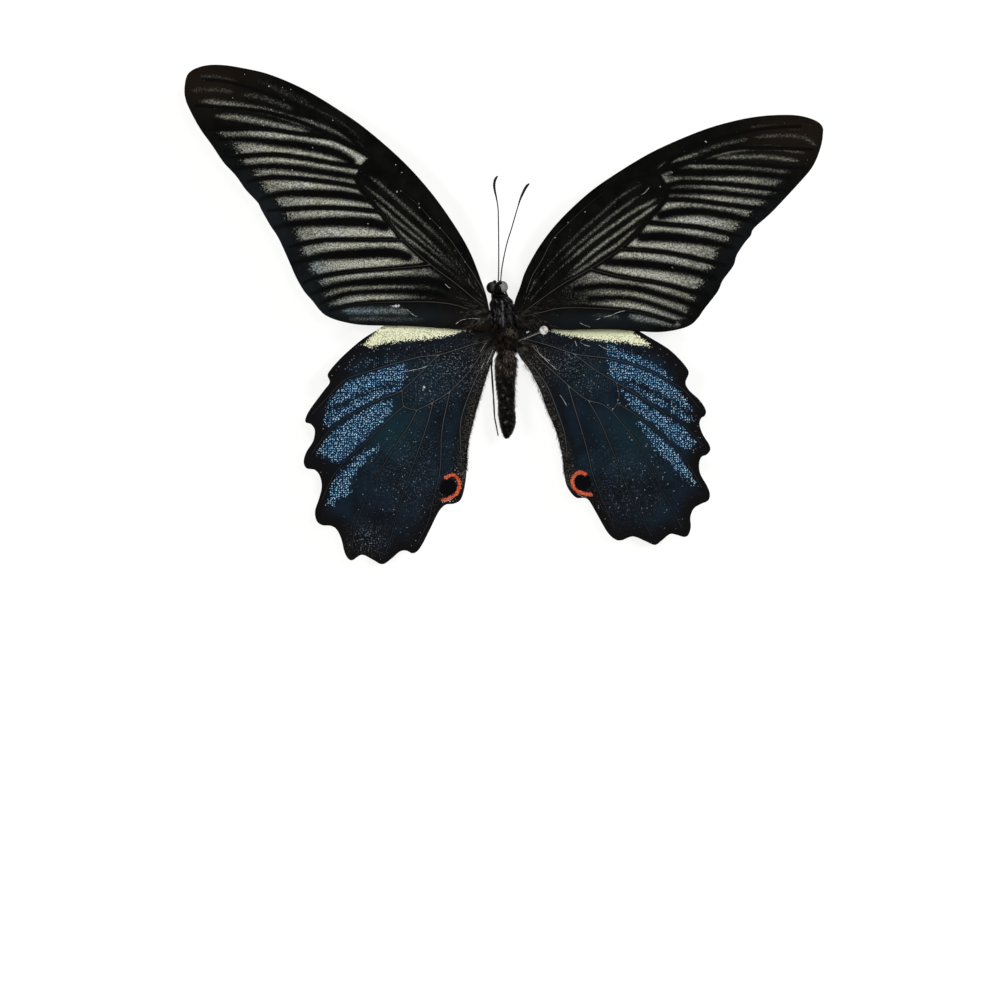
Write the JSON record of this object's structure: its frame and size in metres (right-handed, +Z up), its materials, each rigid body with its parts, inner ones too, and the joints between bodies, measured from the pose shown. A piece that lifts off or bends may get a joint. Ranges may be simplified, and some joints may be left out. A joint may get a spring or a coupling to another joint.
{
  "type": "pinned butterfly specimen",
  "caption": "Dried black swallowtail butterfly with spread wings, clubbed feelers and legs folded under the body, on a round-headed steel pin that leans through the thorax.",
  "frame": {"origin": "middle of the specimen's outline, on the plane that the belly rests on", "axes": "+X to the right wing, across the wingspan; +Y to the head; +Z up out of the back, along the short side"},
  "size_m": [0.11, 0.086, 0.0163],
  "materials": {
    "forewing": "matt scales, near black with grey stripes between the veins",
    "hindwing": "matt scales, navy black with blue dots, a cream streak and a red eyespot",
    "body": "black shell with short brown hair",
    "head": "black with shining eyes",
    "antenna": "satin black",
    "leg": "dull black",
    "pin_steel": "drawn wire",
    "pin_enamel": "glossy white"
  },
  "bodies": {
    "root": {"left_forewing": "forewing", "right_forewing": "forewing", "left_hindwing": "hindwing", "right_hindwing": "hindwing", "thorax": "body", "abdomen": "body", "head": "head", "left_antenna": "antenna", "right_antenna": "antenna", "left_fore_leg": "leg", "right_fore_leg": "leg", "left_mid_leg": "leg", "right_mid_leg": "leg", "left_hind_leg": "leg", "right_hind_leg": "leg", "pin_shaft": "pin_steel", "pin_head": "pin_enamel"}
  },
  "joints": []
}
